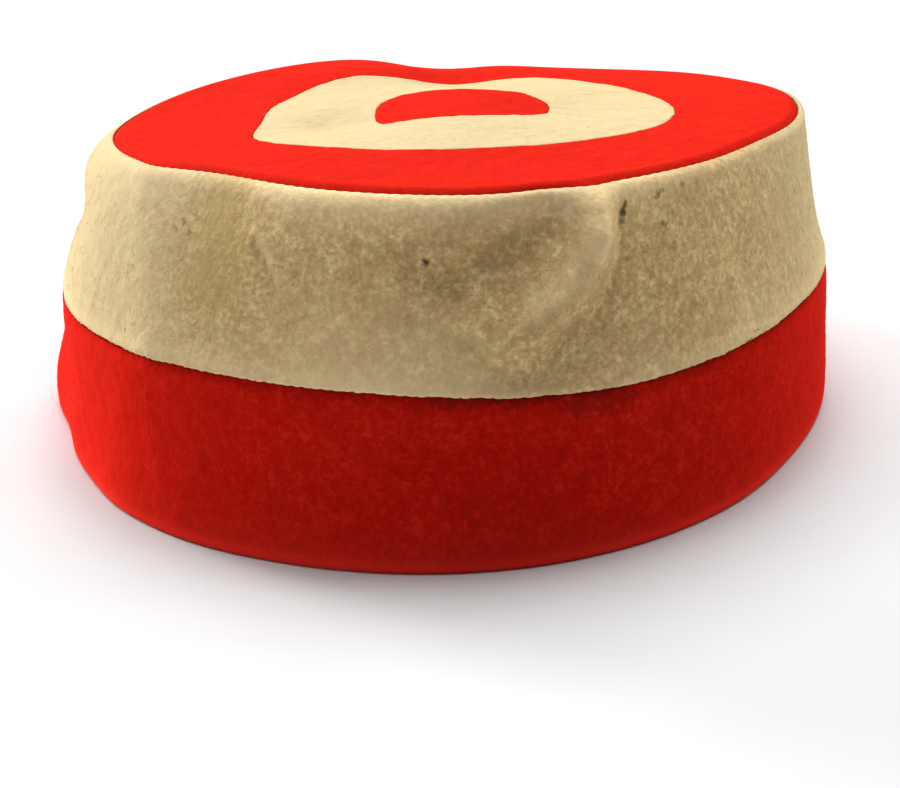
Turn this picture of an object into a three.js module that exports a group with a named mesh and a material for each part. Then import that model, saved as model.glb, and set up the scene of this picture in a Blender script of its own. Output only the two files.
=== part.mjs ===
// A pillbox hat of thick wool felt: a flat crown of nested rings on a side of two bands.
//
// Millimetres, +Z up, front at -Y, right at +X. The rim lies flat at z = 0.
// Angles are plan angles in degrees: 0 right, 90 back, 180 left, -90 front.
// A level runs up the side: 0 at the rim, 1 at the seam between the bands, 2 at the crown's edge.
import * as THREE from "three";

// ---- driving dimensions ----
const FELT = 2.4; // thickness of the felt
const SEAM_GAP = 0.3; // clear gap between two felt edges that are sewn together
const SEAM_HEIGHT = 34.5; // the red and cream bands meet here
const CROWN_HEIGHT = 64.2; // the crown's plane over the hat's axis, without its dome
const CROWN_SLOPE = -0.089; // the crown falls towards the back
const CROWN_CENTRE = { x: 5.3, y: -5.3 }; // middle of the nested rings

// ---- the body: an oval at each level of the side ----
const SECTIONS = [
  { level: 0.0, halfWidth: 85.8, halfDepth: 94.4, centreX: -1.0 },
  { level: 0.5, halfWidth: 85.2, halfDepth: 93.7, centreX: 0.0 },
  { level: 1.0, halfWidth: 85.1, halfDepth: 93.5, centreX: -0.2 },
  { level: 1.5, halfWidth: 81.3, halfDepth: 89.5, centreX: 0.8 },
  { level: 2.0, halfWidth: 75.0, halfDepth: 82.5, centreX: 4.6 },
];

// ---- its dents and folds: each pushes the side out (or in) around one angle and level ----
const SIDE_FOLDS = [
  { name: "nose of the crown's edge", angle: -84, level: 2.0, halfAngle: 18, halfLevel: 0.58, push: 4.5 },
  { name: "flat, front left", angle: -131, level: 2.0, halfAngle: 15, halfLevel: 0.7, push: -3.3 },
  { name: "hollow below it", angle: -122, level: 1.5, halfAngle: 26, halfLevel: 0.32, push: -1.2 },
  { name: "flat, front right", angle: -34, level: 2.0, halfAngle: 16, halfLevel: 0.5, push: -2.8 },
  { name: "flat, back", angle: 75, level: 2.0, halfAngle: 22, halfLevel: 0.5, push: -3.1 },
  { name: "left shoulder", angle: 178, level: 1.8, halfAngle: 20, halfLevel: 0.22, push: 3.2 },
  { name: "left pinch", angle: 178, level: 1.5, halfAngle: 20, halfLevel: 0.22, push: -3.0 },
  { name: "left, above the seam", angle: 184, level: 1.15, halfAngle: 16, halfLevel: 0.2, push: -0.9 },
  { name: "right, above the seam", angle: -4, level: 1.3, halfAngle: 20, halfLevel: 0.4, push: -0.9 },
  { name: "left bulge, lower band", angle: 174, level: 0.17, halfAngle: 16, halfLevel: 0.46, push: 5.8 },
  { name: "valley before the bulge", angle: 190, level: 0.12, halfAngle: 7, halfLevel: 0.5, push: -1.2 },
  { name: "ridge before the valley", angle: 203, level: 0.45, halfAngle: 7, halfLevel: 0.5, push: 0.7 },
  { name: "rim, left corner", angle: -143, level: 0.08, halfAngle: 7, halfLevel: 0.45, push: 0.7 },
  { name: "rim, front left", angle: -132, level: 0.08, halfAngle: 14, halfLevel: 0.45, push: 1.3 },
  { name: "rim, front", angle: -78, level: 0.08, halfAngle: 26, halfLevel: 0.45, push: 0.8 },
  { name: "rim, front right", angle: -32, level: 0.1, halfAngle: 14, halfLevel: 0.5, push: -1.2 },
  { name: "rim, right", angle: -2, level: 0.1, halfAngle: 12, halfLevel: 0.4, push: 1.2 },
];

// ---- its creases: each runs along a path of angles and levels, half is its half-width ----
const SIDE_CREASES = [
  {
    name: "slanting hollow",
    path: [
      { angle: -80, level: 1.81 },
      { angle: -82.7, level: 1.75 },
      { angle: -86.6, level: 1.65 },
      { angle: -89.6, level: 1.57 },
    ],
    half: 6.2,
    push: -3.5,
  },
  {
    name: "lip below the hollow",
    path: [
      { angle: -72.2, level: 1.76 },
      { angle: -72.8, level: 1.65 },
      { angle: -73.9, level: 1.56 },
      { angle: -77.5, level: 1.42 },
      { angle: -82.5, level: 1.32 },
    ],
    half: 4.4,
    push: 2.9,
  },
  {
    name: "upright ridge",
    path: [
      { angle: -72.4, level: 1.88 },
      { angle: -72.2, level: 1.76 },
    ],
    half: 3.2,
    push: 1.9,
  },
  {
    name: "soft corner, front left",
    path: [
      { angle: -146, level: 1.95 },
      { angle: -138, level: 1.57 },
      { angle: -133, level: 1.15 },
    ],
    half: 7,
    push: 0.9,
  },
];
const CREASE_MM_PER_DEGREE = 1.5;
const CREASE_MM_PER_LEVEL = 37;

// ---- the seam between the bands wanders up and down ----
const SEAM_WAVES = [
  { angle: -118, halfAngle: 26, rise: 1.9 },
  { angle: -62, halfAngle: 22, rise: -1.3 },
  { angle: -98, halfAngle: 14, rise: 0.7 },
  { angle: -12, halfAngle: 14, rise: -0.8 },
];

// ---- the crown's surface: soft domes (rise > 0) and dips on its sloping plane ----
const CROWN_SWELLS = [
  { name: "dome over the head", x: 1, y: -5, halfX: 39, halfY: 51, rise: 4.2 },
  { name: "swell, back left", x: -22, y: 66, halfX: 51, halfY: 30, rise: 3.5 },
  { name: "dip in the back edge", x: 0, y: 80, halfX: 14, halfY: 22, rise: -3.1 },
  { name: "sag, back right", x: 42, y: 72, halfX: 32, halfY: 22, rise: -1.6 },
  { name: "left edge", x: -62, y: 38, halfX: 20, halfY: 24, rise: 1.1 },
  { name: "front left edge", x: -50, y: -66, halfX: 24, halfY: 24, rise: 0.6 },
  { name: "back right edge", x: 26, y: 84, halfX: 18, halfY: 16, rise: -1.2 },
  { name: "right edge", x: 80, y: 5, halfX: 18, halfY: 26, rise: 1.2 },
  { name: "hollow behind the centre", x: 3, y: 39, halfX: 14, halfY: 14, rise: -2.7 },
  { name: "swell beside the hollow", x: -23, y: 41, halfX: 18, halfY: 14, rise: 1.7 },
  { name: "sag left of the centre", x: -20, y: -14, halfX: 14, halfY: 14, rise: -2.9 },
  { name: "sag right of the centre", x: 27, y: -14, halfX: 14, halfY: 14, rise: -0.8 },
];

// ---- the hand-cut outlines on the crown: a radius, and where the scissors strayed ----
const RING_OUTLINE = {
  halfX: 46.6,
  halfY: 46.5,
  strays: [
    { angle: 207, halfAngle: 16, push: 2.2 },
    { angle: 180, halfAngle: 22, push: -2.9 },
    { angle: 15, halfAngle: 24, push: -1.5 },
    { angle: 60, halfAngle: 24, push: 1.7 },
    { angle: 125, halfAngle: 22, push: 2.6 },
  ],
};
const CENTRE_OUTLINE = {
  halfX: 19.0,
  halfY: 18.0,
  strays: [
    { angle: 224, halfAngle: 22, push: 2.8 },
    { angle: 322, halfAngle: 20, push: 2.0 },
    { angle: 20, halfAngle: 26, push: -1.2 },
  ],
};

// ---- how finely the curved walls are cut into facets ----
const SPOKES = 72; // around the hat
const LOWER_ROWS = 5; // up the lower band
const UPPER_ROWS = 8; // up the upper band
const OUTER_RING_ROWS = 4; // across the red ring
const INNER_RING_ROWS = 4; // across the cream ring
const CENTRE_ROWS = 3; // from the disc's edge to its middle

const RED_FELT = { color: 0xc4201a, roughness: 0.95, metalness: 0 };
const CREAM_FELT = { color: 0xd8c69c, roughness: 0.95, metalness: 0 };

// ---- helpers ----
const radians = THREE.MathUtils.degToRad;

const mix = THREE.MathUtils.lerp;

// a smooth bump: 1 in the middle, about 0.37 at one half-width away
const bell = (t) => Math.exp(-t * t);

// the difference between two angles, from -180 to 180 degrees
const turn = (a, b) => ((((a - b + 180) % 360) + 360) % 360) - 180;

// evenly spaced values from first to last, both included
function steps(first, last, count) {
  return Array.from({ length: count + 1 }, (_, i) => mix(first, last, i / count));
}

// one column of SECTIONS at any level, as a smooth curve through the rows
function sectionValue(column, level) {
  const last = SECTIONS.length - 2;
  const found = SECTIONS.findIndex((row) => row.level > level) - 1;
  const i = found < 0 ? last : Math.min(found, last);
  const value = (k) => SECTIONS[k][column];
  const t = (level - SECTIONS[i].level) / (SECTIONS[i + 1].level - SECTIONS[i].level);
  const rise = value(i + 1) - value(i);
  const slopeIn = i === 0 ? rise : (value(i + 1) - value(i - 1)) / 2;
  const slopeOut = i === last ? rise : (value(i + 2) - value(i)) / 2;
  const t2 = t * t;
  const t3 = t2 * t;
  return (
    (2 * t3 - 3 * t2 + 1) * value(i) +
    (t3 - 2 * t2 + t) * slopeIn +
    (3 * t2 - 2 * t3) * value(i + 1) +
    (t3 - t2) * slopeOut
  );
}

// distance over the felt, in mm, from the straight piece between two points of a crease
function pieceDistance(from, to, angle, level) {
  const flat = (toAngle, toLevel) =>
    new THREE.Vector2(
      turn(toAngle, from.angle) * CREASE_MM_PER_DEGREE,
      (toLevel - from.level) * CREASE_MM_PER_LEVEL,
    );
  const run = flat(to.angle, to.level);
  const offset = flat(angle, level);
  const along = THREE.MathUtils.clamp(offset.dot(run) / run.lengthSq(), 0, 1);
  return offset.distanceTo(run.multiplyScalar(along));
}

// how far a crease pushes the side out at one angle and level
function creasePush(crease, angle, level) {
  const distances = crease.path
    .slice(1)
    .map((to, i) => pieceDistance(crease.path[i], to, angle, level));
  return crease.push * bell(Math.min(...distances) / crease.half);
}

// a point of the hat's outline in plan, moved in by inset
function planPoint(angle, level, inset = 0) {
  const a = sectionValue("halfWidth", level);
  const b = sectionValue("halfDepth", level);
  const c = Math.cos(radians(angle));
  const s = Math.sin(radians(angle));
  const normal = new THREE.Vector2(c / a, s / b).normalize();
  let push = -inset;
  for (const fold of SIDE_FOLDS) {
    const acrossIt = bell(turn(angle, fold.angle) / fold.halfAngle);
    const upIt = bell((level - fold.level) / fold.halfLevel);
    push += fold.push * acrossIt * upIt;
  }
  for (const crease of SIDE_CREASES) {
    push += creasePush(crease, angle, level);
  }
  return {
    x: sectionValue("centreX", level) + a * c + push * normal.x,
    y: b * s + push * normal.y,
  };
}

// the crown's upper surface
function crownHeight(x, y) {
  let z = CROWN_HEIGHT + CROWN_SLOPE * y;
  for (const swell of CROWN_SWELLS) {
    z += swell.rise * bell((x - swell.x) / swell.halfX) * bell((y - swell.y) / swell.halfY);
  }
  return z;
}

function seamHeight(angle) {
  return SEAM_WAVES.reduce(
    (z, wave) => z + wave.rise * bell(turn(angle, wave.angle) / wave.halfAngle),
    SEAM_HEIGHT,
  );
}

// the crown's edge at one angle, moved in by inset and down by drop
function edgePoint(angle, inset, drop) {
  const { x, y } = planPoint(angle, 2, inset);
  return new THREE.Vector3(x, y, crownHeight(x, y) - drop);
}

// a point of the side at one angle and height, moved in by inset
function sidePoint(angle, z, inset) {
  const seam = seamHeight(angle);
  const top = edgePoint(angle, 0, 0).z;
  const level = z < seam ? z / seam : 1 + (z - seam) / (top - seam);
  const { x, y } = planPoint(angle, Math.min(level, 2), inset);
  return new THREE.Vector3(x, y, z);
}

// distance of a cut outline from the crown's centre in one direction
function outlineRadius(outline, direction) {
  const c = Math.cos(radians(direction));
  const s = Math.sin(radians(direction));
  const oval = 1 / Math.hypot(c / outline.halfX, s / outline.halfY);
  return outline.strays.reduce(
    (r, stray) => r + stray.push * bell(turn(direction, stray.angle) / stray.halfAngle),
    oval,
  );
}

const SPOKE_ANGLES = steps(0, 360, SPOKES).slice(0, SPOKES);

// the direction from the crown's centre to its edge, for each spoke
function spokeDirection(angle) {
  const edge = edgePoint(angle, 0, 0);
  return THREE.MathUtils.radToDeg(Math.atan2(edge.y - CROWN_CENTRE.y, edge.x - CROWN_CENTRE.x));
}

// a point of the crown on one spoke, at a distance from its centre
function crownPoint(direction, radius, drop) {
  const x = CROWN_CENTRE.x + radius * Math.cos(radians(direction));
  const y = CROWN_CENTRE.y + radius * Math.sin(radians(direction));
  return new THREE.Vector3(x, y, crownHeight(x, y) - drop);
}

// a closed body from rows of points around the hat. The rows go up the outside, over the top
// and down the inside; with poles, they end in a point above and below instead.
function rowsToGeometry(rows, poles = []) {
  const points = [...rows.flat(), ...poles];
  const count = rows[0].length;
  const index = [];
  const pairs = poles.length ? rows.length - 1 : rows.length;
  for (let j = 0; j < pairs; j += 1) {
    const low = j * count;
    const high = ((j + 1) % rows.length) * count;
    for (let i = 0; i < count; i += 1) {
      const next = (i + 1) % count;
      index.push(low + i, low + next, high + next);
      index.push(low + i, high + next, high + i);
    }
  }
  if (poles.length) {
    const under = rows.length * count;
    const over = under + 1;
    const lastRow = (rows.length - 1) * count;
    for (let i = 0; i < count; i += 1) {
      const next = (i + 1) % count;
      index.push(under, next, i);
      index.push(over, lastRow + i, lastRow + next);
    }
  }
  const geometry = new THREE.BufferGeometry();
  geometry.setFromPoints(points);
  geometry.setIndex(index);
  geometry.computeVertexNormals();
  return geometry;
}

// one row of points, a point on each spoke
const around = (pointAt) => SPOKE_ANGLES.map(pointAt);

// ---- the pieces ----
function lowerBand() {
  const topOf = (angle) => seamHeight(angle) - SEAM_GAP / 2;
  const wall = (inset, fractions) =>
    fractions.map((t) => around((angle) => sidePoint(angle, topOf(angle) * t, inset)));
  return rowsToGeometry([...wall(0, steps(0, 1, LOWER_ROWS)), ...wall(FELT, steps(1, 0, LOWER_ROWS))]);
}

// both edges of the joint at the crown are cut slantwise, from the outer corner to the inner one
const MITRE_SHIFT = SEAM_GAP / Math.SQRT2;

function upperBand() {
  const bottomOf = (angle) => seamHeight(angle) + SEAM_GAP / 2;
  const wall = (inset, fractions) =>
    fractions.map((t) =>
      around((angle) => {
        const top = edgePoint(angle, inset, inset + MITRE_SHIFT);
        return t === 1 ? top : sidePoint(angle, mix(bottomOf(angle), top.z, t), inset);
      }),
    );
  return rowsToGeometry([...wall(0, steps(0, 1, UPPER_ROWS)), ...wall(FELT, steps(1, 0, UPPER_ROWS))]);
}

function crownOuterRing() {
  const surface = (inset, drop, fractions) =>
    fractions.map((t) =>
      around((angle) => {
        const rim = planPoint(angle, 2, inset);
        const direction = spokeDirection(angle);
        const hole = crownPoint(direction, outlineRadius(RING_OUTLINE, direction) + SEAM_GAP / 2, 0);
        const x = mix(rim.x, hole.x, t);
        const y = mix(rim.y, hole.y, t);
        return new THREE.Vector3(x, y, crownHeight(x, y) - drop);
      }),
    );
  return rowsToGeometry([
    ...surface(MITRE_SHIFT, 0, steps(0, 1, OUTER_RING_ROWS)),
    ...surface(FELT + MITRE_SHIFT, FELT, steps(1, 0, OUTER_RING_ROWS)),
  ]);
}

function crownInnerRing() {
  const surface = (drop, fractions) =>
    fractions.map((t) =>
      around((angle) => {
        const direction = spokeDirection(angle);
        const outer = outlineRadius(RING_OUTLINE, direction) - SEAM_GAP / 2;
        const inner = outlineRadius(CENTRE_OUTLINE, direction) + SEAM_GAP / 2;
        return crownPoint(direction, mix(outer, inner, t), drop);
      }),
    );
  return rowsToGeometry([
    ...surface(0, steps(0, 1, INNER_RING_ROWS)),
    ...surface(FELT, steps(1, 0, INNER_RING_ROWS)),
  ]);
}

function crownCentre() {
  const surface = (drop, fractions) =>
    fractions.map((t) =>
      around((angle) => {
        const direction = spokeDirection(angle);
        const outer = outlineRadius(CENTRE_OUTLINE, direction) - SEAM_GAP / 2;
        return crownPoint(direction, outer * t, drop);
      }),
    );
  const fractions = steps(0, 1, CENTRE_ROWS).slice(1);
  return rowsToGeometry(
    [...surface(FELT, fractions), ...surface(0, [...fractions].reverse())],
    [crownPoint(0, 0, FELT), crownPoint(0, 0, 0)],
  );
}

// ---- the hat ----
function feltMesh(name, geometry, felt) {
  const mesh = new THREE.Mesh(geometry, new THREE.MeshStandardMaterial(felt));
  mesh.name = name;
  return mesh;
}

const body = new THREE.Group();
body.add(feltMesh("side_lower", lowerBand(), RED_FELT));
body.add(feltMesh("side_upper", upperBand(), CREAM_FELT));
body.add(feltMesh("crown_outer_ring", crownOuterRing(), RED_FELT));
body.add(feltMesh("crown_inner_ring", crownInnerRing(), CREAM_FELT));
body.add(feltMesh("crown_centre", crownCentre(), RED_FELT));

// the origin is the middle of the hat's box, on the plane that the rim rests on
const box = new THREE.Box3().setFromObject(body);
body.position.set(-(box.min.x + box.max.x) / 2, -(box.min.y + box.max.y) / 2, 0);

const hat = new THREE.Group();
hat.add(body);

export default hat;
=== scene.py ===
"""A pillbox hat of red and cream wool felt, resting on its rim on a pale floor.

The hat's shape is worked out in millimetres by the same functions as its solids, made fine enough for
felt: soft lumps, puckered seams, creases, marks and a nap of single fibres. Points turn into metres,
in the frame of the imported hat, where a mesh is made.

Angles are plan angles in degrees: 0 right, 90 back, 180 left, -90 front. A level runs up the side:
0 at the rim, 1 at the seam between the bands, 2 at the crown's edge.
"""
import itertools
import math

import bpy
import numpy as np
from mathutils import Matrix, Vector


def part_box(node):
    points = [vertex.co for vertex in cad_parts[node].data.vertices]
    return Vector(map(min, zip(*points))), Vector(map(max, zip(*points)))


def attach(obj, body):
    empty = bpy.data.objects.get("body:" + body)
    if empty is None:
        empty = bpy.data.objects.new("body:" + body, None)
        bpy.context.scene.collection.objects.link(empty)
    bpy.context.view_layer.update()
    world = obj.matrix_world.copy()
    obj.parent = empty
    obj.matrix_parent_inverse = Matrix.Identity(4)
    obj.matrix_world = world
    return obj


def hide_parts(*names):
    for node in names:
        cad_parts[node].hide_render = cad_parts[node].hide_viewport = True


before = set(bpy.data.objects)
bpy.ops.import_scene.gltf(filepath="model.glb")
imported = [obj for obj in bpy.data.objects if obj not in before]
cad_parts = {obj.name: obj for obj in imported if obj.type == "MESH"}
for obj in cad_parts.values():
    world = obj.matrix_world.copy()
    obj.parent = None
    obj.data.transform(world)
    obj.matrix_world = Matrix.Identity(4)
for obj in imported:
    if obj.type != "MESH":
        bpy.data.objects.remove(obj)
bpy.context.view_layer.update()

MM = 0.001

# ---- driving dimensions of the hat, in millimetres ----
FELT = 2.4             # thickness of the felt
SEAM_HEIGHT = 34.5     # of the seam between the bands, before it wanders
CROWN_HEIGHT = 64.2    # of the crown's plane over the hat's middle
CROWN_SLOPE = -0.089   # how that plane falls towards the back
CROWN_CENTRE = (5.3, -5.3)  # middle of the crown's rings

# level, half width, half depth, centre x
SECTIONS = np.array([
    (0.0, 85.8, 94.4, -1.0),
    (0.5, 85.2, 93.7, 0.0),
    (1.0, 85.1, 93.5, -0.2),
    (1.5, 81.3, 89.5, 0.8),
    (2.0, 75.0, 82.5, 4.6),
])

# angle, level, half angle, half level, push: the big dents and folds of the side
SIDE_FOLDS = [
    (-84, 2.0, 18, 0.58, 4.5),    # nose of the crown's edge
    (-131, 2.0, 15, 0.7, -3.3),   # flat, front left
    (-122, 1.5, 26, 0.32, -1.2),  # hollow below it
    (-34, 2.0, 16, 0.5, -2.8),    # flat, front right
    (75, 2.0, 22, 0.5, -3.1),     # flat, back
    (178, 1.8, 20, 0.22, 3.2),    # left shoulder
    (178, 1.5, 20, 0.22, -3.0),   # left pinch
    (184, 1.15, 16, 0.2, -0.9),   # left, above the seam
    (-4, 1.3, 20, 0.4, -0.9),     # right, above the seam
    (174, 0.17, 16, 0.46, 5.8),   # left bulge, lower band
    (190, 0.12, 7, 0.5, -1.2),    # valley before the bulge
    (203, 0.45, 7, 0.5, 0.7),     # ridge before the valley
    (-143, 0.08, 7, 0.45, 0.7),   # rim, left corner
    (-132, 0.08, 14, 0.45, 1.3),  # rim, front left
    (-78, 0.08, 26, 0.45, 0.8),   # rim, front
    (-32, 0.1, 14, 0.5, -1.2),    # rim, front right
    (-2, 0.1, 12, 0.4, 1.2),      # rim, right
]

# path of (angle, level) points, half width, push
SIDE_CREASES = [
    # slanting hollow
    ([(-80, 1.81), (-82.7, 1.75), (-86.6, 1.65), (-89.6, 1.57)], 6.2, -3.5),
    # lip below the hollow
    ([(-72.2, 1.76), (-72.8, 1.65), (-73.9, 1.56), (-77.5, 1.42), (-82.5, 1.32)], 4.4, 2.9),
    # upright ridge
    ([(-72.4, 1.88), (-72.2, 1.76)], 3.2, 1.9),
    # soft corner, front left
    ([(-146, 1.95), (-138, 1.57), (-133, 1.15)], 7, 0.9),
]
CREASE_MM_PER_DEGREE = 1.5
CREASE_MM_PER_LEVEL = 37

# finer ones, too narrow for the hat's solids
FINE_CREASES = [
    # step beside the ridge
    ([(-68.6, 1.83), (-68.3, 1.73), (-68.3, 1.6), (-69.2, 1.48), (-71, 1.38)], 1.3, -0.6),
    # curved crease, and the dip beside it
    ([(-119.8, 1.755), (-117.4, 1.69), (-115.5, 1.63), (-113.8, 1.56), (-112.4, 1.48)], 0.8, 0.42),
    ([(-118.9, 1.67), (-117.1, 1.61), (-115.4, 1.55), (-114.1, 1.47)], 1.1, -0.38),
    # slit
    ([(-68, 1.85), (-68.4, 1.79)], 0.6, -0.4),
]

# angle, half angle, rise: the seam between the bands wanders up and down
SEAM_WAVES = [(-118, 26, 1.9), (-62, 22, -1.3), (-98, 14, 0.7), (-12, 14, -0.8)]

# x, y, half x, half y, rise
CROWN_SWELLS = [
    (1, -5, 39, 51, 4.2),      # dome over the head
    (-22, 66, 51, 30, 3.5),    # swell, back left
    (0, 80, 14, 22, -3.1),     # dip in the back edge
    (42, 72, 32, 22, -1.6),    # sag, back right
    (-62, 38, 20, 24, 1.1),    # left edge
    (-50, -66, 24, 24, 0.6),   # front left edge
    (26, 84, 18, 16, -1.2),    # back right edge
    (80, 5, 18, 26, 1.2),      # right edge
    (3, 39, 14, 14, -2.7),     # hollow behind the centre
    (-23, 41, 18, 14, 1.7),    # swell beside the hollow
    (-20, -14, 14, 14, -2.9),  # sag left of the centre
    (27, -14, 14, 14, -0.8),   # sag right of the centre
]

# half x, half y, then strays of the scissors: angle, half angle, push
RING_OUTLINE = (46.6, 46.5, [(207, 16, 2.2), (180, 22, -2.9), (15, 24, -1.5), (60, 24, 1.7), (125, 22, 2.6)])
CENTRE_OUTLINE = (19.0, 18.0, [(224, 22, 2.8), (322, 20, 2.0), (20, 26, -1.2)])
RED_RING_WIDTH = 31    # mean widths of the crown's two rings
CREAM_RING_WIDTH = 28

# the felt's own lumps: size, height, seed
LUMPS = [(16, 0.16, 1), (6, 0.09, 2), (2.6, 0.09, 3)]

# ---- how the felt pieces meet ----
HALF_GAP = 0.1         # half the gap between two sewn edges
RIM_ROUND = 1.1        # height of the rim's rounded outer corner
RIM_ROUND_SHARE = 0.8  # its width, as a share of that
FLAT_RIM = 3           # height over which the small lumps fade out towards the rim
EDGE_ROUND = 0.5       # radius of a cut edge in the side's seam
JOINT_ROUND = 0.16     # radius of a cut edge in the crown, which is sewn flush
SIDE_STITCHES = 272    # stitches round the side's seam, about 2 mm apart
CROWN_STITCHES = 200   # stitches round the crown's seam, about 2.5 mm apart
RAGGED = 0.16          # how far the scissors wavered along a cut edge
RIM_CHAMFER = (0.6, 0.8)   # inset and rise of the inner corner of the rim
SEAM_CHAMFER = (0.3, 0.5)  # inset and drop of the inner corner of the red band's top
CREAM_CHAMFER = 0.3        # rise of the inner corner of the cream band's bottom
CUT_UPRIGHT = 0.8      # share of the felt's thickness that a cut face in the crown is upright
UNDER_INSET = 0.4      # how far the underside of the crown's pieces stays in from their cut faces
# size in degrees and share of the scissors' wavers, in the side's seam and in the crown
SEAM_WAVER = [(1.6, 1.0), (0.7, 0.7)]
CROWN_WAVER = [(3.2, 1.2), (1.4, 1.0)]
SEAM_SEED = 21
RING_SEED = 51
CENTRE_SEED = 61

# ---- the seam of the side ----
VALLEY_DEPTH = 0.5     # how far the red band sinks into the seam
VALLEY_REACH = 1.7     # and from how far below it
LIP_RISE = 0.3         # how far the cream band's edge stands proud
LIP_HEIGHT = 1         # how far above the seam it stands out most
LIP_REACH = 1.8
STITCH_DIP = 0.3       # how far a stitch pulls the felt in
STITCH_BELOW = 0.7     # and how far below and above the seam
STITCH_ABOVE = 0.6

# ---- the seam of the crown ----
CROWN_SEAM_INSET = 1.2   # how far in from the hat's outline it lies
CROWN_SEAM_DROP = 0.55   # and how far below the crown's surface
CROWN_STITCH_DIP = 0.1   # how far a stitch pulls the red ring down
CREAM_STITCH_DIP = 0.12  # and the cream band
SHOULDER_DEPTH = 2.4     # how far below the crown's edge the cream band starts to turn over
BEAD = 0.2               # how far its fold bulges
FRONT_ROLL = (-90, 70)   # angle and half angle of the front, where the edge rolls over most
FRONT_INSET = 0.8        # more inset there
FRONT_DROP = 0.35        # more drop
FRONT_DEPTH = 2.0        # more depth of the shoulder
# inset and drop of the red ring's rolled edge, from its cut face to its top
RED_ROLL = [(0.0, 0.95), (0.07, 0.78), (0.18, 0.6), (0.36, 0.4), (0.62, 0.2), (1.0, 0.06)]
FLAT_START = 1.5         # how far in from the cut face the ring's flat starts, on top
UNDER_START = 1.6        # and below
# more inset and drop of the cream band's cut face, from its top down
CREAM_CUT = [(-0.02, 0.12), (0.0, 0.4), (0.0, 1.4)]

# ---- pale edges, painted light and mottle, as shares from 0 to 1 ----
# share and reach in mm of the pale crest colour, above the rim and above the seam
# above the rim it is painted light, against the shade where the rim meets the floor
RIM_PAINTED_LIGHT = [(0.3, 6), (0.7, 1.6)]
# above the seam the broad one is painted light on the cream band's lower part, the narrow one a paler strip
# along its edge
SEAM_PALE_AND_PAINTED_LIGHT = [(0.35, 9), (0.3, 2.6)]
# angle, half angle, more: that painted light on the cream band's lower part is stronger left of the front
# and weaker right of it
SEAM_PAINTED_LIGHT_ROUND = [(-100, 11, 0.6), (-75, 12, -0.75)]
# the cream band is paler towards the crown's edge, most at the front: least share, angle, half angle, more
CROWN_PALE = (0.2, -94, 40, 0.8)
# and furthest down beside the hollow: reach in mm, then angle, half angle, more
CROWN_PALE_REACH = 4.4
CROWN_PALE_ROUND = [(-88, 16, 1.4)]
# the felt is lumpiest at the front of the side, and calmer round its left and right than its back
# the same share moves the side's colour between the calm and middle colours, which is painted light and
# shade
MOTTLE_LEAST = 0.25
MOTTLE_FRONT = (-80, 0.75)       # angle, more
MOTTLE_BACK = (95, 55, 0.35)     # angle, half angle, more
RED_FRONT = 54                   # half angles of the front on the two bands
CREAM_FRONT = 52
CROWN_RED_MOTTLE = 0.38
CROWN_CREAM_MOTTLE = 0.14

# ---- how fine the meshes are ----
SPOKES = 1500
RING_SPOKES = 720
CENTRE_SPOKES = 320
STEP = 0.8             # between rows of points on the outside
INNER_STEP = 4.0       # and on the inside, which hardly shows


# ================= shape =================
def bell(t):
    return np.exp(-t * t)


def plateau(t):
    """Like bell, with a flatter top and steeper sides."""
    return bell(t ** 2)


def turn(a, b):
    """The difference between two angles, from -180 to 180 degrees."""
    return (a - b + 180) % 360 - 180


def mix(a, b, t):
    return a + (b - a) * t


def varied(base, swells, angle):
    """A value that changes round the hat, by rows of angle, half angle and what is added there."""
    return base + sum(amount * bell(turn(angle, at) / half) for at, half, amount in swells)


def paleness(parts, distance):
    """How pale the felt is at a distance from an edge, by rows of share and reach."""
    return sum(share * bell(distance / reach) for share, reach in parts)


def section_value(column, level):
    """One column of SECTIONS at any level, as a smooth curve through its rows."""
    levels, values = SECTIONS[:, 0], SECTIONS[:, column]
    last = len(levels) - 2
    i = np.clip(np.searchsorted(levels, level, side="right") - 1, 0, last)
    t = (level - levels[i]) / (levels[i + 1] - levels[i])
    slopes = np.empty_like(values)
    slopes[1:-1] = (values[2:] - values[:-2]) / 2
    slopes[0] = values[1] - values[0]
    slopes[-1] = values[-1] - values[-2]
    t2, t3 = t * t, t ** 3
    return (
        (2 * t3 - 3 * t2 + 1) * values[i]
        + (t3 - 2 * t2 + t) * slopes[i]
        + (3 * t2 - 2 * t3) * values[i + 1]
        + (t3 - t2) * slopes[i + 1]
    )


def path_distance(path, angle, level):
    """Distance over the felt, in mm, from a path of (angle, level) points."""
    first = path[0][0]
    px = turn(angle, first) * CREASE_MM_PER_DEGREE
    py = level * CREASE_MM_PER_LEVEL
    found = np.full(np.broadcast(px, py).shape, np.inf)
    for (a0, l0), (a1, l1) in zip(path, path[1:]):
        start = np.array([turn(a0, first) * CREASE_MM_PER_DEGREE, l0 * CREASE_MM_PER_LEVEL])
        run = np.array([turn(a1, first) * CREASE_MM_PER_DEGREE, l1 * CREASE_MM_PER_LEVEL]) - start
        along = np.clip(((px - start[0]) * run[0] + (py - start[1]) * run[1]) / (run @ run), 0, 1)
        found = np.minimum(found, np.hypot(px - start[0] - along * run[0], py - start[1] - along * run[1]))
    return found


def plan_point(angle, level, inset):
    """A point of the hat's outline in plan, moved in by inset."""
    a, b = section_value(1, level), section_value(2, level)
    c, s = np.cos(np.radians(angle)), np.sin(np.radians(angle))
    size = np.hypot(c / a, s / b)
    push = -inset
    for fold_angle, fold_level, half_angle, half_level, amount in SIDE_FOLDS:
        around = bell(turn(angle, fold_angle) / half_angle)
        push = push + amount * around * bell((level - fold_level) / half_level)
    for path, half, amount in SIDE_CREASES:
        push = push + amount * bell(path_distance(path, angle, level) / half)
    return section_value(3, level) + a * c + push * c / a / size, b * s + push * s / b / size


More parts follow.
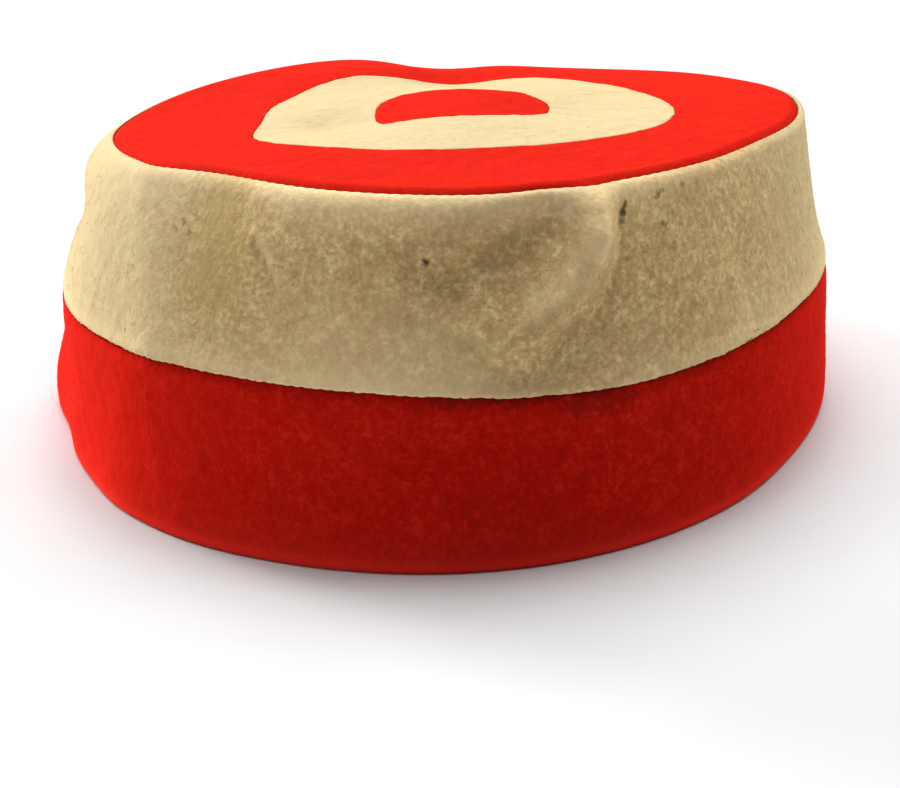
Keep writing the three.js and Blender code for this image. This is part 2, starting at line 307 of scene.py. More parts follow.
def crown_height(x, y):
    z = CROWN_HEIGHT + CROWN_SLOPE * y
    for sx, sy, half_x, half_y, rise in CROWN_SWELLS:
        z = z + rise * bell((x - sx) / half_x) * bell((y - sy) / half_y)
    return z


def seam_height(angle):
    return varied(SEAM_HEIGHT, SEAM_WAVES, angle)


def crown_edge_height(angle):
    return crown_height(*plan_point(angle, np.full_like(angle, 2.0), 0.0))


def outline_radius(outline, direction):
    half_x, half_y, strays = outline
    c, s = np.cos(np.radians(direction)), np.sin(np.radians(direction))
    oval = 1 / np.hypot(c / half_x, s / half_y)
    return varied(oval, strays, direction)


def soft_noise(points, size, seed):
    """Smooth random values from -1 to 1, in lumps of about one size."""
    cell = np.asarray(points, float) / size
    low = np.floor(cell).astype(np.int64)
    t = cell - low
    t = t * t * (3 - 2 * t)
    total = 0.0
    for corner in itertools.product((0, 1), repeat=3):
        at = low + np.array(corner)
        code = at[..., 0] * 73856093 ^ at[..., 1] * 19349663 ^ at[..., 2] * 83492791 ^ seed * 2654435761
        code = (code ^ (code >> 13)) * 1274126177 & 0xFFFFFFFF
        code = (code ^ (code >> 16)) * 668265263 & 0xFFFFFFFF
        weight = np.prod(np.where(corner, t, 1 - t), axis=-1)
        total = total + weight * ((code >> 8) / 2 ** 23 - 1)
    return total


def lumps(points):
    """How far the felt's own lumps stand out of its mean surface."""
    return sum(height * soft_noise(points, size, seed) for size, height, seed in LUMPS)


def ring_noise(angle, size_degrees, seed):
    """Smooth random values around the hat, which meet where the turn ends."""
    r = 57.3 / size_degrees  # a radian has 57.3 degrees
    c, s = np.cos(np.radians(angle)), np.sin(np.radians(angle))
    return soft_noise(np.stack([c * r, s * r, np.full_like(c, 0.5 + seed)], -1), 1, seed)


def pucker(angle, stitches, seed):
    """1 between two stitches and 0 at a stitch, unevenly as hand sewing is."""
    wander = 1.6 * ring_noise(angle, 9, seed)
    wave = 0.5 - 0.5 * np.cos(np.radians(angle) * stitches + wander)
    return wave * (0.65 + 0.35 * ring_noise(angle, 5, seed + 1))


# ================= points of each panel =================
def levels_of(angle, z):
    """The levels of heights in mm."""
    seam = seam_height(angle)
    top = crown_edge_height(angle)
    return np.where(z < seam, z / seam, 1 + (z - seam) / (top - seam))


def side_point(angle, z, inset):
    """A point of the side, in mm, at one height."""
    x, y = plan_point(angle, np.minimum(levels_of(angle, z), 2.0), inset)
    return np.stack([x, y, z + 0 * x], -1)


def edge_point(angle, inset, drop):
    """A point near the crown's edge, moved in by inset and down by drop from the crown's surface."""
    level = 2 - drop / (crown_edge_height(angle) - seam_height(angle))
    x, y = plan_point(angle, level, inset)
    return np.stack([x, y, crown_height(x, y) - drop], -1)


def crown_point(direction, radius, drop):
    x = CROWN_CENTRE[0] + radius * np.cos(np.radians(direction))
    y = CROWN_CENTRE[1] + radius * np.sin(np.radians(direction))
    return np.stack([x, y, crown_height(x, y) - drop], -1)


def fine_relief(angle, z, points):
    """Outward push of the small shapes of the side's felt."""
    level = levels_of(angle, z)
    push = lumps(points)
    for path, half, amount in FINE_CREASES:
        push = push + amount * bell(path_distance(path, angle, level) / half)
    return push


def quarter(radius_in, radius_up, steps):
    """(inset, drop) points round a convex corner, from the end face to the wall."""
    turns = np.linspace(0, math.pi / 2, steps + 1)
    return [(radius_in * (1 - math.sin(t)), radius_up * (1 - math.cos(t))) for t in turns]


def steps_between(first, last, step):
    """Even values from first to last, about a step apart."""
    return np.linspace(first, last, max(2, int(round(abs(last - first) / step)) + 1))


def graded(height):
    """Shares from 0 to 1 of a height in mm, closer together near both ends."""
    t = np.linspace(0, 1, int(round(height / STEP)) + 1)
    return t - 0.5 * np.sin(2 * math.pi * t) / (2 * math.pi)


def front_roll(angle):
    """1 at the front, falling off towards the back."""
    return bell(turn(angle, FRONT_ROLL[0]) / FRONT_ROLL[1])


def seam_inset(angle):
    """How far in from the outline the seam of the crown lies."""
    return CROWN_SEAM_INSET + FRONT_INSET * front_roll(angle)


def seam_drop(angle):
    """How far below the crown's surface that seam lies."""
    return CROWN_SEAM_DROP + FRONT_DROP * front_roll(angle)


# ================= meshes =================
def mesh_object(name, points, faces, material):
    """A mesh from points in millimetres of the hat's own drawing."""
    mesh = bpy.data.meshes.new(name)
    mesh.from_pydata(((points + SHIFT) * MM).tolist(), [], faces)
    mesh.polygons.foreach_set("use_smooth", np.ones(len(mesh.polygons), bool))
    mesh.materials.append(material)
    obj = bpy.data.objects.new(name, mesh)
    bpy.context.scene.collection.objects.link(obj)
    return obj


def ring_faces(rows, count, closed):
    """Quads between rows of points around the hat, as lists of four corners."""
    low = np.arange(rows if closed else rows - 1)
    high = (low + 1) % rows
    i = np.arange(count)
    following = (i + 1) % count
    corners = [
        low[:, None] * count + i,
        low[:, None] * count + following,
        high[:, None] * count + following,
        high[:, None] * count + i,
    ]
    return np.stack(corners, -1).reshape(-1, 4)


def add_attribute(obj, name, values):
    attribute = obj.data.attributes.new(name, "FLOAT", "POINT")
    attribute.data.foreach_set("value", np.asarray(values, np.float32).ravel())


def shell(name, rows, material, near_edge, mottle):
    """A closed wall from rows that go over the outside and back along the inside."""
    points = np.concatenate(rows)
    obj = mesh_object(name, points, ring_faces(len(rows), len(rows[0]), True).tolist(), material)
    add_attribute(obj, "edge", np.concatenate(near_edge))
    add_attribute(obj, "mottle", np.tile(mottle, len(rows)))
    return obj


def waver(angle, sizes, seed):
    """How far the scissors strayed, by rows of size and share."""
    return RAGGED * sum(share * ring_noise(angle, size, seed + k) for k, (size, share) in enumerate(sizes))


ANGLES = np.arange(SPOKES) * 360 / SPOKES
CROWN_LEVEL = np.full(SPOKES, 2.0)
SEAM_LINE = seam_height(ANGLES) + waver(ANGLES, SEAM_WAVER, SEAM_SEED)
# 1 at a stitch and 0 between two, in each seam
SIDE_PULL = 1 - pucker(ANGLES, SIDE_STITCHES, 31)
CROWN_PULL = 1 - pucker(ANGLES, CROWN_STITCHES, 41)


def own_shift():
    """Moves the hat's drawing to the frame's origin, as its solids are."""
    heights = np.linspace(0, SEAM_HEIGHT, 12)[:, None]
    outline = side_point(ANGLES[None, :], heights + 0 * ANGLES, 0.0).reshape(-1, 3)
    low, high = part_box("side_lower")
    middle = (np.array(low) + np.array(high)) / 2 / MM
    shift = middle - (outline.min(0) + outline.max(0)) / 2
    return np.array([shift[0], shift[1], 0.0])


SHIFT = own_shift()


def mottle_share(front_half):
    """How mottled a band of the side is all round."""
    front, more_front = MOTTLE_FRONT
    back, back_half, more_back = MOTTLE_BACK
    at_front = more_front * plateau(turn(ANGLES, front) / front_half)
    return MOTTLE_LEAST + at_front + more_back * plateau(turn(ANGLES, back) / back_half)


def lower_band_rows():
    """Rows of the red band, with how far each takes the crest colour towards the rim (0 to 1), which is
    painted light.
    """
    top = SEAM_LINE - HALF_GAP
    rows, near = [], []

    def outer(z, inset, edge_share):
        plain = side_point(ANGLES, z, inset)
        valley = VALLEY_DEPTH * bell((SEAM_LINE - z) / VALLEY_REACH)
        sink = valley + STITCH_DIP * SIDE_PULL * bell((SEAM_LINE - z) / STITCH_BELOW)
        relief = fine_relief(ANGLES, z, plain) * np.clip(z / FLAT_RIM, 0, 1)
        rows.append(side_point(ANGLES, z, inset + sink - relief))
        near.append(np.full(SPOKES, edge_share))

    def inner(z, inset):
        rows.append(side_point(ANGLES, z, inset))
        near.append(np.zeros(SPOKES))

    for inset, drop in quarter(RIM_ROUND * RIM_ROUND_SHARE, RIM_ROUND, 5):
        outer(drop + 0 * ANGLES, inset, 1.0)
    for t in graded(SEAM_HEIGHT)[1:-1]:
        outer(mix(RIM_ROUND, top - EDGE_ROUND, t), 0.0, float(paleness(RIM_PAINTED_LIGHT, t * SEAM_HEIGHT)))
    for inset, drop in reversed(quarter(EDGE_ROUND, EDGE_ROUND, 4)):
        outer(top - drop, inset, 0.0)
    inner(top, FELT - SEAM_CHAMFER[0])
    for t in steps_between(1, 0, INNER_STEP / SEAM_HEIGHT):
        inner(mix(RIM_CHAMFER[1], top - SEAM_CHAMFER[1], t), FELT)
    inner(0 * ANGLES, FELT - RIM_CHAMFER[0])
    return rows, near


def upper_band_rows():
    """Rows of the cream band, with how pale each is towards its seams (0 to 1)."""
    bottom = SEAM_LINE + HALF_GAP
    edge = crown_edge_height(ANGLES)
    inset_there = seam_inset(ANGLES)
    drop_there = seam_drop(ANGLES) + CREAM_STITCH_DIP * CROWN_PULL
    deep = SHOULDER_DEPTH + FRONT_DEPTH * front_roll(ANGLES)
    least, pale_at, pale_half, more = CROWN_PALE
    pale_top = least + more * plateau(turn(ANGLES, pale_at) / pale_half)
    reach = varied(CROWN_PALE_REACH, CROWN_PALE_ROUND, ANGLES)
    broad, narrow = SEAM_PALE_AND_PAINTED_LIGHT
    broad_round = varied(1, SEAM_PAINTED_LIGHT_ROUND, ANGLES)
    rows, near = [], []

    def mark(z):
        up = z - SEAM_LINE
        low = broad_round * paleness([broad], up) + paleness([narrow], up)
        return np.maximum(low, pale_top * bell((edge - z) / reach))

    def outer(z, inset):
        plain = side_point(ANGLES, z, inset)
        lip = LIP_RISE * bell((z - SEAM_LINE - LIP_HEIGHT) / LIP_REACH)
        proud = lip - STITCH_DIP * SIDE_PULL * bell((z - SEAM_LINE) / STITCH_ABOVE)
        relief = fine_relief(ANGLES, z, plain)
        rows.append(side_point(ANGLES, z, inset - proud - relief))
        near.append(mark(z))

    for inset, drop in quarter(EDGE_ROUND, EDGE_ROUND, 4):
        outer(bottom + drop, inset)
    height = CROWN_HEIGHT - SEAM_HEIGHT
    for t in graded(height)[1:-1]:
        outer(mix(bottom + EDGE_ROUND, edge - deep, t), 0.0)
    last = side_point(ANGLES, edge - deep, 0.0)
    relief = fine_relief(ANGLES, edge - deep, last)
    for t in np.linspace(0, 1, 9):
        inset = (inset_there - HALF_GAP) * (1 - math.cos(t * math.pi * 0.46))
        drop = mix(deep, drop_there, math.sin(t * math.pi * 0.5))
        bead = BEAD * math.sin(t * math.pi)
        rows.append(edge_point(ANGLES, inset - relief * (1 - t) - bead, drop - bead * 0.5))
        near.append(mark(edge - drop))
    for inset, drop in CREAM_CUT:
        rows.append(edge_point(ANGLES, inset_there - HALF_GAP + inset, drop_there + drop))
        near.append(np.zeros(SPOKES))
    for t in steps_between(0, 1, INNER_STEP / height):
        z = mix(edge - deep - FELT, bottom + CREAM_CHAMFER, t)
        rows.append(side_point(ANGLES, z, FELT + 0 * ANGLES))
        near.append(np.zeros(SPOKES))
    return rows, near


def spoke_directions():
    """Directions from the crown's centre to the points of its edge."""
    x, y = plan_point(ANGLES, CROWN_LEVEL, 0.0)
    return np.degrees(np.arctan2(y - CROWN_CENTRE[1], x - CROWN_CENTRE[0]))


def cut_radius(outline, direction, seed):
    """An outline as it was cut, with the small wavers of the scissors."""
    return outline_radius(outline, direction) + waver(direction, CROWN_WAVER, seed)


def raise_points(points, amount):
    lifted = points.copy()
    lifted[..., 2] += amount
    return lifted


def outer_ring_rows():
    """Rows of the crown's red ring, from its underside out, over its rolled edge and in to the cream."""
    direction = spoke_directions()
    hole = cut_radius(RING_OUTLINE, direction, RING_SEED) + HALF_GAP / 2
    start = seam_inset(ANGLES) + HALF_GAP
    deeper = seam_drop(ANGLES) / CROWN_SEAM_DROP
    rows, near = [], []

    def add(points):
        rows.append(points)
        near.append(np.zeros(SPOKES))

    def roll(inset, drop):
        pulled = CROWN_STITCH_DIP * CROWN_PULL * bell(inset / 0.8)
        add(edge_point(ANGLES, start + inset, drop + pulled))

    # the underside, its corner, and the middle of the cut face
    roll(0.8, FELT)
    roll(0.25, FELT - 0.3)
    roll(0.0, mix(FELT - 0.5, 1.1 * deeper, 0.5))
    for inset, drop in RED_ROLL:
        roll(inset, drop * deeper)
    rim_x, rim_y = plan_point(ANGLES, CROWN_LEVEL, start + FLAT_START)
    target = crown_point(direction, hole + JOINT_ROUND, 0.0)
    for t in steps_between(0, 1, STEP / RED_RING_WIDTH):
        x, y = mix(rim_x, target[..., 0], t), mix(rim_y, target[..., 1], t)
        flat = np.stack([x, y, crown_height(x, y)], -1)
        add(raise_points(flat, lumps(flat) * min(1, t * 9)))
    for inset, drop in quarter(JOINT_ROUND, JOINT_ROUND, 3)[1:]:
        flat = crown_point(direction, hole + inset, 0.0)
        add(raise_points(flat, lumps(flat) - drop))
    add(crown_point(direction, hole, FELT * CUT_UPRIGHT))
    under = crown_point(direction, hole + UNDER_INSET, FELT)
    out_x, out_y = plan_point(ANGLES, CROWN_LEVEL, start + UNDER_START)
    for t in steps_between(0, 1, INNER_STEP / RED_RING_WIDTH)[:-1]:
        x, y = mix(under[..., 0], out_x, t), mix(under[..., 1], out_y, t)
        add(np.stack([x, y, crown_height(x, y) - FELT], -1))
    return rows, near


def inner_ring_rows():
    """Rows of the crown's cream ring, in over its top and back along its underside."""
    direction = np.arange(RING_SPOKES) * 360 / RING_SPOKES
    outer = cut_radius(RING_OUTLINE, direction, RING_SEED) - HALF_GAP / 2
    inner = cut_radius(CENTRE_OUTLINE, direction, CENTRE_SEED) + HALF_GAP / 2
    rows = []

    def top(radius, drop):
        flat = crown_point(direction, radius, 0.0)
        rows.append(raise_points(flat, lumps(flat) - drop))

    rows.append(crown_point(direction, outer, FELT * CUT_UPRIGHT))
    for inset, drop in reversed(quarter(JOINT_ROUND, JOINT_ROUND, 3)):
        top(outer - inset, drop)
    for t in steps_between(0, 1, STEP / CREAM_RING_WIDTH)[1:-1]:
        top(mix(outer - JOINT_ROUND, inner + JOINT_ROUND, t), 0.0)
    for inset, drop in quarter(JOINT_ROUND, JOINT_ROUND, 3):
        top(inner + inset, drop)
    rows.append(crown_point(direction, inner, FELT * CUT_UPRIGHT))
    for t in steps_between(0, 1, INNER_STEP / CREAM_RING_WIDTH):
        rows.append(crown_point(direction, mix(inner + UNDER_INSET, outer - UNDER_INSET, t), FELT))
    return rows, [np.zeros(RING_SPOKES) for row in rows]


def build_centre(material):
    """The small red disc: rows from its underside out and back in over the top, and two poles."""
    count = CENTRE_SPOKES
    direction = np.arange(count) * 360 / count
    outer = cut_radius(CENTRE_OUTLINE, direction, CENTRE_SEED) - HALF_GAP / 2
    rows = [crown_point(direction, (outer - UNDER_INSET) * t, FELT) for t in steps_between(0.08, 1, 0.15)]
    rows.append(crown_point(direction, outer, FELT * CUT_UPRIGHT))
    for inset, drop in reversed(quarter(JOINT_ROUND, JOINT_ROUND, 3)):
        flat = crown_point(direction, outer - inset, 0.0)
        rows.append(raise_points(flat, lumps(flat) - drop))
    for t in steps_between(1, 0.03, STEP / CENTRE_OUTLINE[1])[1:]:
        flat = crown_point(direction, (outer - JOINT_ROUND) * t, 0.0)
        rows.append(raise_points(flat, lumps(flat)))
    top = crown_point(np.zeros(1), 0.0, 0.0)
    poles = [crown_point(np.zeros(1), 0.0, FELT), raise_points(top, lumps(top))]
    faces = ring_faces(len(rows), count, False).tolist()
    under, over = len(rows) * count, len(rows) * count + 1
    last = (len(rows) - 1) * count
    for i in range(count):
        following = (i + 1) % count
        faces.append([under, following, i])
        faces.append([over, last + i, last + following])
    points = np.concatenate(rows + poles)
    obj = mesh_object("felt_crown_centre", points, faces, material)
    add_attribute(obj, "mottle", np.full(len(points), CROWN_RED_MOTTLE))
    return obj


# ================= materials =================
class Nodes:
    """A few short calls for building one material's node tree."""

    def __init__(self, name):
        self.material = bpy.data.materials.new(name)
        self.material.use_nodes = True
        self.tree = self.material.node_tree
        self.shader = self.tree.nodes["Principled BSDF"]
        self.place = self.add("ShaderNodeTexCoord").outputs["Object"]

    def add(self, kind, **values):
        node = self.tree.nodes.new(kind)
        for key, value in values.items():
            setattr(node, key, value)
        return node

    def link(self, output, socket):
        self.tree.links.new(output, socket)

    def feed(self, socket, value):
        if hasattr(value, "is_linked"):
            self.link(value, socket)
        else:
            socket.default_value = value

    def noise(self, size_mm, detail=2.0, roughness=0.5, distortion=0.0):
        """Noise with lumps of about one size."""
        node = self.add("ShaderNodeTexNoise")
        self.link(self.place, node.inputs["Vector"])
        node.inputs["Scale"].default_value = 1 / (size_mm * MM)
        node.inputs["Detail"].default_value = detail
        node.inputs["Roughness"].default_value = roughness
        node.inputs["Distortion"].default_value = distortion
        return node.outputs["Fac"]

    def math(self, operation, a, b=0.0):
        node = self.add("ShaderNodeMath", operation=operation)
        self.feed(node.inputs[0], a)
        self.feed(node.inputs[1], b)
        return node.outputs[0]

    def remap(self, value, low, high, to_low=0.0, to_high=1.0):
        """A value brought from low and high to another range, and kept inside it."""
        node = self.add("ShaderNodeMapRange")
        self.feed(node.inputs["Value"], value)
        node.inputs["From Min"].default_value = low
        node.inputs["From Max"].default_value = high
        node.inputs["To Min"].default_value = to_low
        node.inputs["To Max"].default_value = to_high
        return node.outputs["Result"]

    def blend(self, share, a, b, kind="MIX"):
        """Colour a, with a share of b mixed in."""
        node = self.add("ShaderNodeMix", data_type="RGBA", blend_type=kind)
        self.feed(node.inputs["Factor"], share)
        self.feed(node.inputs["A"], a)
        self.feed(node.inputs["B"], b)
        return node.outputs["Result"]

    def spot(self, start, end, radius_mm, waver_mm):
        """1 near the line from start to end, 0 further off than a radius, with an uneven outline."""
        run = Vector(end) - Vector(start)
        offset = self.add("ShaderNodeVectorMath", operation="SUBTRACT")
        self.link(self.place, offset.inputs[0])
        offset.inputs[1].default_value = start
        along = self.add("ShaderNodeVectorMath", operation="DOT_PRODUCT")
        self.link(offset.outputs["Vector"], along.inputs[0])
        along.inputs[1].default_value = run / max(run.length_squared, 1e-12)
        nearest = self.add("ShaderNodeVectorMath", operation="SCALE")
        nearest.inputs[0].default_value = run
        self.link(self.remap(along.outputs["Value"], 0, 1), nearest.inputs["Scale"])
        distance = self.add("ShaderNodeVectorMath", operation="DISTANCE")
        self.link(offset.outputs["Vector"], distance.inputs[0])
        self.link(nearest.outputs["Vector"], distance.inputs[1])
        waver = self.remap(self.noise(1.1, 1), 0.3, 0.7, -waver_mm * MM, waver_mm * MM)
        off = self.math("ADD", distance.outputs["Value"], waver)
        return self.remap(off, radius_mm * MM, radius_mm * MM * 0.3)


def scaled(colour, amount):
    return tuple(min(1.0, c * amount) for c in colour[:3]) + (1,)


# share of the tiny, small and clumped noise in the felt's bump, and its depth in mm
BUMP_SHARES = (0.15, 0.55, 0.6)
BUMP_DEPTH = 0.45


def felt_material(name, dark, middle, light, calm, crest, fine, coarse, thread, edge_share, marks):
    """Matt felt: mottled at several scales, with curly fibres, dark pits, a soft sheen and shallow bump.

    The middle colour turns to the calm one where the felt is least mottled, which on the side is painted
    light and shade, and to the crest colour on pale edges, some of them painted light. fine and coarse are
    how strong the mottle is, thread how much the fibres show, and the edge share how far the edges take the
    crest colour.
    """
    n = Nodes(name)
    # size in mm, detail, roughness, distortion
    tiny = n.noise(0.45, 2, 0.6, 0.4)
    small = n.noise(1.1, 2, 0.55, 0.2)
    clumps = n.noise(2.5, 2, 0.55, 0.3)
    patches = n.noise(9, 2, 0.5, 0.5)
    curls = n.math("ABSOLUTE", n.math("SUBTRACT", n.noise(2.0, 1, 0.5, 2.2), 0.5))
    fibre = n.remap(curls, 0.03, 0.0)
    share = n.add("ShaderNodeAttribute", attribute_name="mottle").outputs["Fac"]
    centred = []
    for noise, amount in [(tiny, fine), (small, coarse), (clumps, coarse * 0.85), (patches, coarse * 0.4)]:
        centred.append(n.math("MULTIPLY", n.math("SUBTRACT", noise, 0.5), amount))
    total = n.math("ADD", n.math("ADD", centred[0], centred[1]), n.math("ADD", centred[2], centred[3]))
    shade = n.math("ADD", n.math("MULTIPLY", total, share), 0.5)
    # painted light and shade: the side takes the calm colours where it is least mottled, at its left and
    # right
    ground = n.blend(n.remap(share, 0.3, 1), calm, middle)
    colour = n.blend(n.remap(shade, 0, 0.5), dark, ground)
    colour = n.blend(n.remap(shade, 0.5, 1), colour, light)
    colour = n.blend(n.math("MULTIPLY", n.math("MULTIPLY", fibre, share), thread), colour, light)
    pits = n.math("MULTIPLY", n.remap(n.noise(0.9, 1), 0.36, 0.24), share)
    colour = n.blend(n.math("MULTIPLY", pits, coarse * 0.3), colour, scaled(dark, 0.6))
    drift = n.blend(n.remap(n.noise(5, 1), 0.35, 0.65), PINKISH, GREENISH)
    colour = n.blend(1.0, colour, drift, "MULTIPLY")
    # the crest colour on pale edges, by the edge attribute: painted light above the rim and on the cream
    # band's lower part
    edge = n.add("ShaderNodeAttribute", attribute_name="edge").outputs["Fac"]
    colour = n.blend(n.math("MULTIPLY", edge, edge_share), colour, crest)
    for start, end, radius, waver, strength, tint in placed(marks):
        strength_there = n.math("MULTIPLY", n.spot(start, end, radius, waver), strength)
        colour = n.blend(strength_there, colour, tint)
    n.link(colour, n.shader.inputs["Base Color"])
    of_tiny, of_small, of_clumps = BUMP_SHARES
    height = n.math("ADD", n.math("MULTIPLY", tiny, of_tiny), n.math("MULTIPLY", small, of_small))
    height = n.math("ADD", height, n.math("MULTIPLY", clumps, of_clumps))
    bump = n.add("ShaderNodeBump")
    n.link(n.remap(share, 0, 1, 0.1, 0.75), bump.inputs["Strength"])
    bump.inputs["Distance"].default_value = BUMP_DEPTH * MM
    n.link(height, bump.inputs["Height"])
    n.link(bump.outputs["Normal"], n.shader.inputs["Normal"])
    n.shader.inputs["Roughness"].default_value = 0.95
    n.shader.inputs["Specular IOR Level"].default_value = 0.01
    n.shader.inputs["Sheen Weight"].default_value = 0.4
    n.shader.inputs["Sheen Roughness"].default_value = 0.45
    n.shader.inputs["Sheen Tint"].default_value = light
    return n.material


def plain_material(name, colour, roughness):
    """One colour, very slightly uneven."""
    n = Nodes(name)
    tone = n.remap(n.noise(40, 3), 0.3, 0.7, 0.97, 1.0)
    n.link(n.blend(1.0, colour, tone, "MULTIPLY"), n.shader.inputs["Base Color"])
    n.shader.inputs["Roughness"].default_value = roughness
    n.shader.inputs["Specular IOR Level"].default_value = 0.1
    return n.material


# The side's felt goes from RED and CREAM at the front to the calm colours at the left and right. That shift
# is painted light and shade, not the felt itself: the red is paler at the left and right, where the light
# falls, and the cream browner at the shaded front.
RED = (0.50, 0.0085, 0.0038, 1)
RED_CALM = (0.70, 0.0118, 0.0052, 1)
RED_TOP = (0.515, 0.0125, 0.0058, 1)
RED_DARK = scaled(RED, 0.6)
RED_LIGHT = (0.85, 0.03, 0.016, 1)
# crest colour of the red: painted light above the rim, and a painted highlight on the left bulge
RED_CREST = (0.95, 0.034, 0.02, 1)
CREAM = (0.565, 0.38, 0.172, 1)
CREAM_CALM = (0.535, 0.424, 0.25, 1)
CREAM_DARK = (0.39, 0.26, 0.115, 1)
CREAM_LIGHT = (0.82, 0.63, 0.33, 1)
# crest colour of the cream: pale edges, painted light low on the band, and painted highlights on the ridge,
# the lip and the curved crease
CREAM_CREST = (0.89, 0.68, 0.38, 1)
THREAD_BROWN = (0.13, 0.02, 0.012, 1)
FLOOR = (0.63, 0.63, 0.63, 1)

# slight tints that the felt's colour drifts between
PINKISH = (1.015, 0.99, 0.985, 1)
GREENISH = (0.975, 1.015, 0.97, 1)

# ---- stains, specks, painted shade and painted highlights ----
MARK_INSET = 0.2       # how far under the surface a mark's middle lies
BROWN = (0.21, 0.13, 0.045, 1)
TAN = (0.34, 0.23, 0.07, 1)
# painted shade, in the hollow
HOLLOW_SHADE = (0.2, 0.08, 0.02, 1)
# painted shade, under the side's seam
SEAM_SHADE = (0.2, 0.008, 0.006, 1)
BLACK = (0.03, 0.027, 0.03, 1)
# painted shade, in the slit
SLIT_SHADE = (0.06, 0.056, 0.058, 1)

# from (angle, level), to (angle, level), radius, waver, strength, tint
SIDE_MARKS = [
    # stains and specks
    ((-61.4, 1.9), (-61.8, 1.893), 0.9, 0.3, 0.8, BROWN),
    ((-61.9, 1.885), (-62.4, 1.87), 0.7, 0.2, 0.6, BROWN),
    ((-57.6, 1.915), (-57.5, 1.912), 0.8, 0.2, 0.75, BROWN),
    ((-60.9, 1.75), (-60.6, 1.738), 0.8, 0.2, 0.75, BROWN),
    ((-54.8, 1.9), (-54.6, 1.897), 0.6, 0.3, 0.45, BROWN),
    ((-66.8, 1.625), (-66.7, 1.62), 0.6, 0.3, 0.45, BROWN),
    ((-53.7, 1.42), (-53.6, 1.41), 0.5, 0.2, 0.45, BROWN),
    ((-93.9, 1.665), (-93.8, 1.66), 0.9, 0.2, 1.0, BLACK),
    ((-132.2, 1.765), (-131.9, 1.757), 0.7, 0.35, 0.45, BROWN),
    ((-131.9, 1.55), (-131.8, 1.54), 0.6, 0.3, 0.35, BROWN),
    # slit: painted shade in the cut, and a painted brown shadow at its top
    ((-67.7, 1.88), (-67.9, 1.845), 0.6, 0.12, 1.0, BROWN),
    ((-67.9, 1.845), (-68.1, 1.8), 0.85, 0.15, 1.0, SLIT_SHADE),
    # painted highlights on the crests of the ridge and the lip
    ((-72.6, 1.97), (-72.6, 1.73), 3.4, 0.9, 0.42, CREAM_CREST),
    ((-73.3, 1.7), (-77.5, 1.5), 5.6, 4, 0.4, CREAM_CREST),
    # curved crease: a painted highlight along it, and painted shade beside it
    ((-119.6, 1.755), (-115.6, 1.635), 0.9, 0.3, 0.6, CREAM_CREST),
    ((-115.6, 1.635), (-113.2, 1.53), 0.9, 0.3, 0.5, CREAM_CREST),
    ((-118.6, 1.665), (-114.6, 1.5), 1.2, 0.3, 0.2, BROWN),
    # freckles, front left
    ((-134.1, 1.735), (-133.8, 1.722), 0.7, 0.3, 0.7, BROWN),
    ((-134.9, 1.692), (-134.6, 1.686), 0.7, 0.3, 0.6, BROWN),
    ((-132.2, 1.678), (-132, 1.67), 0.6, 0.3, 0.6, BROWN),
    ((-143.1, 1.455), (-142.9, 1.44), 0.6, 0.3, 0.6, BROWN),
    ((-140.7, 1.465), (-140.5, 1.455), 0.6, 0.3, 0.6, BROWN),
    ((-122.6, 1.182), (-122.5, 1.17), 0.6, 0.3, 0.5, BROWN),
    ((-138.8, 1.115), (-138.7, 1.105), 0.6, 0.3, 0.6, BROWN),
    # notch at the seam
    ((-46.9, 1.012), (-44.4, 1.045), 0.6, 0.4, 0.8, BROWN),
    # tan stain
    ((-127.2, 1.8), (-124.5, 1.45), 13, 2, 0.6, TAN),
    # broad faint tones: painted shade in the hollow, a darker patch at the right, painted shade low at the
    # front right, painted light low at the front left
    ((-90.5, 1.74), (-79.5, 1.78), 14, 4, 0.13, HOLLOW_SHADE),
    ((-38.4, 1.69), (-34, 1.5), 17, 4, 0.14, BROWN),
    ((-72, 1.2), (-65, 1.25), 14, 4, 0.1, BROWN),
    ((-103, 1.19), (-93, 1.17), 13, 4, 0.2, CREAM_CREST),
]

# the same for the red band
RED_SIDE_MARKS = [
    # painted highlight on the crest of the left bulge
    ((-159.3, 0.93), (-157.5, 0.74), 0.8, 0.3, 0.3, RED_CREST),
    ((-157.5, 0.74), (-154.8, 0.372), 0.9, 0.3, 0.35, RED_CREST),
    ((-154.8, 0.372), (-151, 0.15), 0.9, 0.3, 0.3, RED_CREST),
    # painted shade under the seam
    ((-92, 0.985), (-84, 0.985), 1.5, 0.8, 0.45, SEAM_SHADE),
    ((-84, 0.985), (-76, 0.985), 1.5, 0.8, 0.45, SEAM_SHADE),
    ((-73.5, 0.94), (-68, 0.955), 3.6, 1.6, 0.5, SEAM_SHADE),
]


def side_place(angle, level):
    """A point just inside the side's surface, in the frame's metres."""
    a = np.array([float(angle)])
    seam, top = seam_height(a), crown_edge_height(a)
    z = seam * level if level < 1 else seam + (level - 1) * (top - seam)
    return tuple((side_point(a, z, MARK_INSET)[0] + SHIFT) * MM)


def placed(marks):
    """The same marks, from and to points of the frame."""
    return [(side_place(*start), side_place(*end), *rest) for start, end, *rest in marks]


# ================= fibres and thread =================
ROOT_DEPTH = 0.06            # how deep in the felt a fibre starts
FIBRE_BEND = 0.9             # spread, in radians, of how much it turns at each step
FIBRE_LENGTHS = (0.5, 1.4)   # least and most, as shares of the length given
FIBRE_TAPER = np.array([1, 1, 0.9, 0.5])
THREAD_RADIUS = 0.11
STITCH_TAPER = np.array([0.6, 1, 1, 1, 0.6])
# how far up from the seam, and out of the felt, a stitch goes
STITCH_PATH = [(0.5, -0.25), (0.25, 0.05), (-0.1, -0.2), (-0.35, -0.3), (-0.6, -0.6)]
STITCH_SLANT = 0.28          # degrees for each mm up
STITCH_STRAY = 0.12          # how unevenly stitches are spaced and slanted


